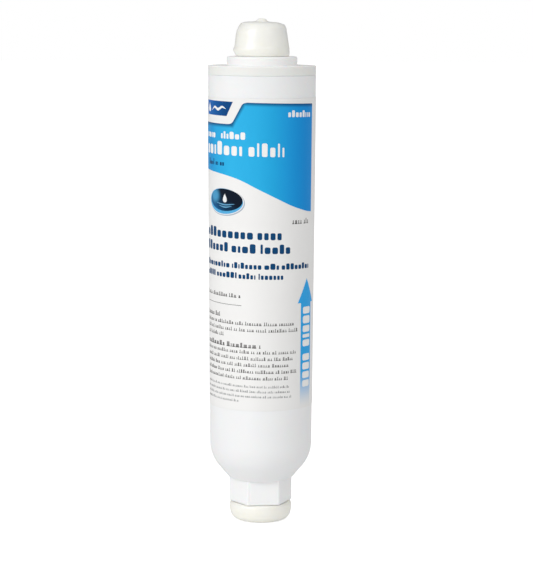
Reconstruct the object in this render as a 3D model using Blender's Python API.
"""Inline garden-hose water filter: a tapered canister with a hexagonal inlet boss, a welded outlet cap,
soft dust closures on both hose threads, a wrap label, and a packed carbon bed between two fibre pads.

Water flows up, along +Z. The origin is the centre of the flat base of the inlet dust plug, and the front
of the label faces -Y. Every size below is in millimetres; meshes are built in metres.
"""

import math

import bmesh
import bpy

MM = 0.001
SEGMENTS = 60  # around the canister; a multiple of 6, so that the hexagon's corners fall on vertices
FINE_SEGMENTS = 48  # around the smaller soft pieces
GAP = 0.3  # between pieces that rest on each other

# Heights along the axis, from the plug's base
PLUG_HEAD_TOP = 10.75
HEX_BOTTOM = PLUG_HEAD_TOP + GAP
NECK = 26.1
DOME_TOP = 47.2
RIM = 266.15
FLANGE_TOP = 272.5
COLLAR_TOP = 277.2
NIPPLE_LENGTH = 14.3
NIPPLE_TOP = COLLAR_TOP + NIPPLE_LENGTH

# Canister
RIM_RADIUS = 31.75
DOME_TOP_RADIUS = 30.45
NECK_RADIUS = 19.4
DOME_ARC_RADIUS = 22.0
DOME_ARC_DEGREES = 38.0
WALL = 3.0
EDGE = 0.35  # small broken edges
HEX_ACROSS_FLATS = 33.0
HEX_CORNER_RADIUS = 1.5
HEX_FRONT_DEGREES = -84.0  # direction of the facet nearest the label's front
LEDGE_HEIGHT = 36.5
LEDGE_INNER_RADIUS = 22.4
INLET_BORE_RADIUS = 8.0
INLET_FLOOR = 28.2

# 3/4-11.5 NH garden-hose threads
THREAD_PITCH = 25.4 / 11.5
MALE_CREST_RADIUS = 13.495
MALE_ROOT_RADIUS = 12.25
FEMALE_CREST_RADIUS = 12.45
FEMALE_ROOT_RADIUS = 13.7
THREAD_STEPS = 32  # per turn
THREAD_BASE_WIDTH = 1.9
THREAD_CREST_WIDTH = 0.45
THREAD_EMBED = 0.3
THREAD_RUNOUT_TURNS = 0.35
SOCKET_SEAT = HEX_BOTTOM + 14.25

# Outlet end cap
COLLAR_RADIUS = 20.7
SPIGOT_RADIUS = 28.35
SPIGOT_BOTTOM = 257.7
SPIGOT_WALL = 2.5
OUTLET_BORE_RADIUS = 9.5

# Bed and its supports, from the inlet up
PLATE_THICKNESS = 2.5
PLATE_HOLE_RADIUS = 1.9
PLATE_HOLE_SIDES = 8
INLET_PLATE_RADIUS = 23.9
OUTLET_PLATE_RADIUS = 28.15
PAD_THICKNESS = 6.0
FOAM_THICKNESS = 8.0

# Label
LABEL_BOTTOM = 70.9
LABEL_TOP = 253.7
LABEL_CLEARANCE = 0.05
LABEL_THICKNESS = 0.15

# Hose washer: 1 in outside, 5/8 in inside, 1/8 in thick
WASHER_OUTER_RADIUS = 12.7
WASHER_INNER_RADIUS = 7.94
WASHER_THICKNESS = 3.2

# Soft closures
DUST_CAP_BORE_RADIUS = 13.85
DUST_CAP_TOP = 20.25
NUB_RADIUS = 3.25
NUB_TOP = 22.5
PLUG_RADIUS = 18.75
PLUG_ROUNDING = 5.5
STEM_RADIUS = 12.15
STEM_BORE_RADIUS = 10.4
STEM_TOP = 19.3
PLUG_FLOOR = 5.0


def clear_scene():
    for item in list(bpy.data.objects):
        bpy.data.objects.remove(item)


def plastic(name, color, roughness):
    """A dielectric material; every piece of this object is one."""
    material = bpy.data.materials.new(name)
    material.use_nodes = True
    shader = material.node_tree.nodes["Principled BSDF"]
    shader.inputs["Base Color"].default_value = (*color, 1.0)
    shader.inputs["Roughness"].default_value = roughness
    shader.inputs["Metallic"].default_value = 0.0
    return material


def arc(center, radius, start_degrees, end_degrees, steps):
    """Profile points (radius, height) along an arc, both ends included."""
    angles = [
        math.radians(start_degrees + (end_degrees - start_degrees) * i / steps)
        for i in range(steps + 1)
    ]
    return [
        (center[0] + radius * math.cos(a), center[1] + radius * math.sin(a))
        for a in angles
    ]


def blend(start, end, share):
    return start + (end - start) * share


def wall_radius(height):
    """Outer radius of the drafted tube at a height."""
    return blend(DOME_TOP_RADIUS, RIM_RADIUS, (height - DOME_TOP) / (RIM - DOME_TOP))


def chamber_radius(height):
    """Inner radius of the chamber above the ledge at a height."""
    if height >= DOME_TOP:
        return wall_radius(height) - WALL
    inner_arc = DOME_ARC_RADIUS - WALL
    drop = DOME_TOP - height
    return DOME_TOP_RADIUS - DOME_ARC_RADIUS + math.sqrt(inner_arc**2 - drop**2)


def hexagon(shrink=0.0):
    """Radius of the hexagonal outline, as a function of direction in radians."""

    def radius(direction):
        apothem = HEX_ACROSS_FLATS / 2 - shrink
        off_face = math.degrees(direction) - HEX_FRONT_DEGREES
        from_face = math.radians((off_face + 30.0) % 60.0 - 30.0)
        from_corner = math.radians(30.0) - abs(from_face)
        center = (apothem - HEX_CORNER_RADIUS) / math.cos(math.radians(30.0))
        reach = HEX_CORNER_RADIUS**2 - (center * math.sin(from_corner)) ** 2
        flat = apothem / math.cos(from_face)
        if reach <= 0:
            return flat
        return min(flat, center * math.cos(from_corner) + math.sqrt(reach))

    return radius


def finish_mesh(name, mesh_builder, material, base=0.0):
    """Turns a bmesh built about the height `base` into a smooth-shaded object standing there."""
    bmesh.ops.recalc_face_normals(mesh_builder, faces=mesh_builder.faces)
    mesh = bpy.data.meshes.new(name)
    mesh_builder.to_mesh(mesh)
    mesh_builder.free()
    mesh.shade_smooth()
    mesh.set_sharp_from_angle(angle=math.radians(35.0))
    mesh.materials.append(material)
    piece = bpy.data.objects.new(name, mesh)
    piece.location.z = base * MM
    bpy.context.collection.objects.link(piece)
    return piece


def lofted(name, rings, material, base=0.0, through=False, segments=SEGMENTS):
    """A solid of rings (outline, height) joined in order. An outline is a radius or a function of
    direction. A solid with a hole through it closes on itself; any other is capped at both ends."""
    builder = bmesh.new()
    loops = []
    for outline, height in rings:
        loop = []
        for i in range(segments):
            direction = 2 * math.pi * i / segments
            radius = outline(direction) if callable(outline) else outline
            place = (
                radius * math.cos(direction) * MM,
                radius * math.sin(direction) * MM,
                (height - base) * MM,
            )
            loop.append(builder.verts.new(place))
        loops.append(loop)
    pairs = list(zip(loops, loops[1:]))
    if through:
        pairs.append((loops[-1], loops[0]))
    else:
        builder.faces.new(loops[0])
        builder.faces.new(loops[-1])
    for lower, upper in pairs:
        for i in range(segments):
            j = (i + 1) % segments
            builder.faces.new((lower[i], lower[j], upper[j], upper[i]))
    return finish_mesh(name, builder, material, base)


def thread_ridge(name, root, crest, bottom, top, material):
    """A helical ridge that stands from the root radius to the crest radius and sinks into the wall
    at both ends. The crest is inside the root for a female thread."""
    outward = 1.0 if crest > root else -1.0
    buried = root - outward * THREAD_EMBED
    sunk = root - outward * THREAD_EMBED / 2
    turns = (top - bottom - THREAD_BASE_WIDTH) / THREAD_PITCH
    steps = round(turns * THREAD_STEPS)
    builder = bmesh.new()
    sections = []
    for i in range(steps + 1):
        turn = turns * i / steps
        rise = min(1.0, turn / THREAD_RUNOUT_TURNS, (turns - turn) / THREAD_RUNOUT_TURNS)
        tip = blend(sunk, crest, rise)
        direction = 2 * math.pi * turn
        middle = THREAD_BASE_WIDTH / 2 + THREAD_PITCH * turn
        corners = (
            (buried, -THREAD_BASE_WIDTH / 2),
            (tip, -THREAD_CREST_WIDTH / 2),
            (tip, THREAD_CREST_WIDTH / 2),
            (buried, THREAD_BASE_WIDTH / 2),
        )
        sections.append(
            [
                builder.verts.new(
                    (
                        radius * math.cos(direction) * MM,
                        radius * math.sin(direction) * MM,
                        (middle + offset) * MM,
                    )
                )
                for radius, offset in corners
            ]
        )
    builder.faces.new(sections[0])
    builder.faces.new(sections[-1])
    for near, far in zip(sections, sections[1:]):
        for i in range(4):
            j = (i + 1) % 4
            builder.faces.new((near[i], near[j], far[j], far[i]))
    return finish_mesh(name, builder, material, bottom)


def combine(piece, tool, operation):
    """Adds an exact Boolean with a tool object, which stays as a hidden guide."""
    tool.hide_render = True
    tool.display_type = "WIRE"
    modifier = piece.modifiers.new(tool.name, "BOOLEAN")
    modifier.operation = operation
    modifier.solver = "EXACT"
    modifier.object = tool
    return piece


def dome_profile():
    """Outer outline from the tube's foot round the dome and down its cone to the neck."""
    center = (DOME_TOP_RADIUS - DOME_ARC_RADIUS, DOME_TOP)
    return [
        *arc(center, DOME_ARC_RADIUS, 0.0, -DOME_ARC_DEGREES, 6),
        (NECK_RADIUS, NECK + EDGE / 2),
        (NECK_RADIUS - EDGE, NECK),
    ]


def make_housing(material):
    chamber_foot = [LEDGE_HEIGHT + (DOME_TOP - LEDGE_HEIGHT) * i / 4 for i in range(5)]
    rings = [
        (RIM_RADIUS - WALL + EDGE, RIM),
        (RIM_RADIUS - EDGE, RIM),
        (wall_radius(RIM - EDGE), RIM - EDGE),
        *dome_profile(),
        (hexagon(), NECK),
        (hexagon(), HEX_BOTTOM + EDGE),
        (hexagon(EDGE), HEX_BOTTOM),
        (FEMALE_ROOT_RADIUS + 2 * EDGE, HEX_BOTTOM),
        (FEMALE_ROOT_RADIUS, HEX_BOTTOM + 2 * EDGE),
        (FEMALE_ROOT_RADIUS, SOCKET_SEAT),
        (INLET_BORE_RADIUS, SOCKET_SEAT),
        (INLET_BORE_RADIUS, INLET_FLOOR),
        (NECK_RADIUS - EDGE - 1.0, INLET_FLOOR),
        (LEDGE_INNER_RADIUS, LEDGE_HEIGHT - 2.0),
        (LEDGE_INNER_RADIUS, LEDGE_HEIGHT),
        *[(chamber_radius(height), height) for height in chamber_foot],
        (chamber_radius(RIM - EDGE), RIM - EDGE),
    ]
    housing = lofted("housing", rings, material, HEX_BOTTOM, through=True)
    ridge = thread_ridge(
        "inlet_thread_guide",
        FEMALE_ROOT_RADIUS,
        FEMALE_CREST_RADIUS,
        HEX_BOTTOM + 1.2,
        SOCKET_SEAT - WASHER_THICKNESS - 2 * GAP,
        material,
    )
    return combine(housing, ridge, "UNION")


def make_outlet_end_cap(material):
    spigot_bore = SPIGOT_RADIUS - SPIGOT_WALL
    flange_bottom = RIM + GAP
    rings = [
        (spigot_bore, SPIGOT_BOTTOM),
        (SPIGOT_RADIUS, SPIGOT_BOTTOM),
        (SPIGOT_RADIUS, flange_bottom),
        (RIM_RADIUS - 2 * EDGE, flange_bottom),
        (RIM_RADIUS, flange_bottom + EDGE),
        (RIM_RADIUS, FLANGE_TOP - EDGE),
        (RIM_RADIUS - EDGE, FLANGE_TOP),
        (COLLAR_RADIUS, FLANGE_TOP),
        (COLLAR_RADIUS, COLLAR_TOP - 2 * EDGE),
        (COLLAR_RADIUS - 2 * EDGE, COLLAR_TOP),
        (MALE_ROOT_RADIUS, COLLAR_TOP),
        (MALE_ROOT_RADIUS, NIPPLE_TOP - 2 * EDGE),
        (MALE_ROOT_RADIUS - 2 * EDGE, NIPPLE_TOP),
        (OUTLET_BORE_RADIUS, NIPPLE_TOP),
        (OUTLET_BORE_RADIUS, FLANGE_TOP - WALL),
        (COLLAR_RADIUS - WALL, FLANGE_TOP - WALL - 1.0),
        (spigot_bore, FLANGE_TOP - 3 * WALL),
    ]
    end_cap = lofted("outlet_end_cap", rings, material, RIM, through=True)
    ridge = thread_ridge(
        "outlet_thread_guide",
        MALE_ROOT_RADIUS,
        MALE_CREST_RADIUS,
        COLLAR_TOP + 1.6,
        NIPPLE_TOP - 1.0,
        material,
    )
    return combine(end_cap, ridge, "UNION")


def make_dust_cap(material):
    """Cup with a bead round its mouth, a rounded shoulder and the moulding nub on top; heights are
    counted from the mouth, where its origin is."""
    ceiling = DUST_CAP_TOP - 1.9
    profile = [
        (12.2, ceiling),
        (13.3, 15.6),
        (DUST_CAP_BORE_RADIUS, 13.6),
        (DUST_CAP_BORE_RADIUS, 0.0),
        (16.15, 0.0),
        (16.55, 1.0),
        (16.6, 2.2),
        (16.3, 3.6),
        (16.0, 5.6),
        (15.5, 9.5),
        (15.1, 13.0),
        (14.5, 15.4),
        *arc((11.3, DUST_CAP_TOP - 3.0), 2.9, 15.0, 80.0, 3),
        (NUB_RADIUS, DUST_CAP_TOP),
        (NUB_RADIUS, NUB_TOP - 0.7),
        (NUB_RADIUS - 0.7, NUB_TOP),
    ]
    mouth = COLLAR_TOP + GAP
    rings = [(radius, mouth + height) for radius, height in profile]
    return lofted("outlet_dust_cap", rings, material, mouth, segments=FINE_SEGMENTS)


def make_dust_plug(material):
    """Flat-bottomed soft head with a hollow stem that goes up into the female thread."""
    rings = [
        *arc((PLUG_RADIUS - PLUG_ROUNDING, PLUG_ROUNDING), PLUG_ROUNDING, -90.0, 0.0, 5),
        (PLUG_RADIUS, PLUG_HEAD_TOP - 0.8),
        (PLUG_RADIUS - 0.8, PLUG_HEAD_TOP),
        (STEM_RADIUS, PLUG_HEAD_TOP),
        (STEM_RADIUS, STEM_TOP - 0.7),
        (STEM_RADIUS - 0.7, STEM_TOP),
        (STEM_BORE_RADIUS, STEM_TOP),
        (STEM_BORE_RADIUS, PLUG_FLOOR),
    ]
    return lofted("inlet_dust_plug", rings, material, 0.0, segments=FINE_SEGMENTS)


def make_label(material):
    """Film wrapped round the tube, parallel to its draft."""
    inner = LABEL_CLEARANCE
    outer = LABEL_CLEARANCE + LABEL_THICKNESS
    rings = [
        (wall_radius(LABEL_TOP) + inner, LABEL_TOP),
        (wall_radius(LABEL_TOP) + outer, LABEL_TOP),
        (wall_radius(LABEL_BOTTOM) + outer, LABEL_BOTTOM),
        (wall_radius(LABEL_BOTTOM) + inner, LABEL_BOTTOM),
    ]
    return lofted("label", rings, material, LABEL_BOTTOM, through=True)


def make_washer(material):
    top = SOCKET_SEAT - GAP
    bottom = top - WASHER_THICKNESS
    rings = [
        (WASHER_INNER_RADIUS, bottom),
        (WASHER_OUTER_RADIUS, bottom),
        (WASHER_OUTER_RADIUS, top),
        (WASHER_INNER_RADIUS, top),
    ]
    return lofted("inlet_hose_washer", rings, material, bottom, True, FINE_SEGMENTS)


def hole_cutter(name, rows, bottom, material):
    """Upright pegs in concentric rows, (radius of the row, pegs in it), for cutting a plate."""
    builder = bmesh.new()
    for row_radius, count in rows:
        for i in range(count):
            direction = 2 * math.pi * i / count
            peg = bmesh.ops.create_cone(
                builder,
                cap_ends=True,
                segments=PLATE_HOLE_SIDES,
                radius1=PLATE_HOLE_RADIUS * MM,
                radius2=PLATE_HOLE_RADIUS * MM,
                depth=(PLATE_THICKNESS + 2.0) * MM,
            )
            shift = (
                row_radius * math.cos(direction) * MM,
                row_radius * math.sin(direction) * MM,
                PLATE_THICKNESS / 2 * MM,
            )
            bmesh.ops.translate(builder, verts=peg["verts"], vec=shift)
    return finish_mesh(name, builder, material, bottom)


def make_plate(name, radius, bottom, rows, material):
    rings = [
        (radius - EDGE, bottom),
        (radius, bottom + EDGE),
        (radius, bottom + PLATE_THICKNESS - EDGE),
        (radius - EDGE, bottom + PLATE_THICKNESS),
    ]
    plate = lofted(name, rings, material, bottom, segments=FINE_SEGMENTS)
    cutter = hole_cutter(name + "_hole_guide", rows, bottom, material)
    return combine(plate, cutter, "DIFFERENCE")


def make_filling(name, bottom, top, material):
    """A plug of filter medium that fills the chamber between two heights."""
    heights = [bottom, top]
    if bottom < DOME_TOP < top:
        heights.insert(1, DOME_TOP)
    rings = [(chamber_radius(height) - 1.2 * GAP, height) for height in heights]
    return lofted(name, rings, material, bottom, segments=FINE_SEGMENTS)


def make_bed(natural, felt, foam, carbon):
    """Plates, pads and granules from the inlet ledge to the end cap's spigot."""
    inlet_plate = LEDGE_HEIGHT + GAP
    make_plate(
        "inlet_retainer_plate",
        INLET_PLATE_RADIUS,
        inlet_plate,
        ((0.0, 1), (8.5, 6), (17.5, 12)),
        natural,
    )
    inlet_pad = inlet_plate + PLATE_THICKNESS + GAP
    make_filling("inlet_fiber_pad", inlet_pad, inlet_pad + PAD_THICKNESS, felt)
    outlet_plate = SPIGOT_BOTTOM - GAP - PLATE_THICKNESS
    make_plate(
        "outlet_retainer_plate",
        OUTLET_PLATE_RADIUS,
        outlet_plate,
        ((0.0, 1), (10.5, 6), (21.0, 12)),
        natural,
    )
    foam_pad = outlet_plate - GAP - FOAM_THICKNESS
    make_filling("bed_foam_pad", foam_pad, foam_pad + FOAM_THICKNESS, foam)
    outlet_pad = foam_pad - GAP - PAD_THICKNESS
    make_filling("outlet_fiber_pad", outlet_pad, outlet_pad + PAD_THICKNESS, felt)
    make_filling("carbon_bed", inlet_pad + PAD_THICKNESS + GAP, outlet_pad - GAP, carbon)


def build():
    clear_scene()
    make_housing(plastic("housing_white", (0.84, 0.85, 0.86), 0.32))
    make_outlet_end_cap(plastic("end_cap_white", (0.79, 0.8, 0.78), 0.36))
    make_dust_cap(plastic("dust_cap_vinyl", (0.86, 0.84, 0.76), 0.3))
    make_dust_plug(plastic("dust_plug_vinyl", (0.87, 0.83, 0.68), 0.35))
    make_label(plastic("label_film", (0.35, 0.66, 0.86), 0.28))
    make_washer(plastic("washer_rubber", (0.05, 0.05, 0.05), 0.8))
    make_bed(
        plastic("plate_plastic", (0.75, 0.76, 0.75), 0.5),
        plastic("fiber_felt", (0.82, 0.82, 0.78), 0.95),
        plastic("foam", (0.7, 0.7, 0.62), 0.95),
        plastic("carbon", (0.02, 0.02, 0.02), 0.9),
    )


build()
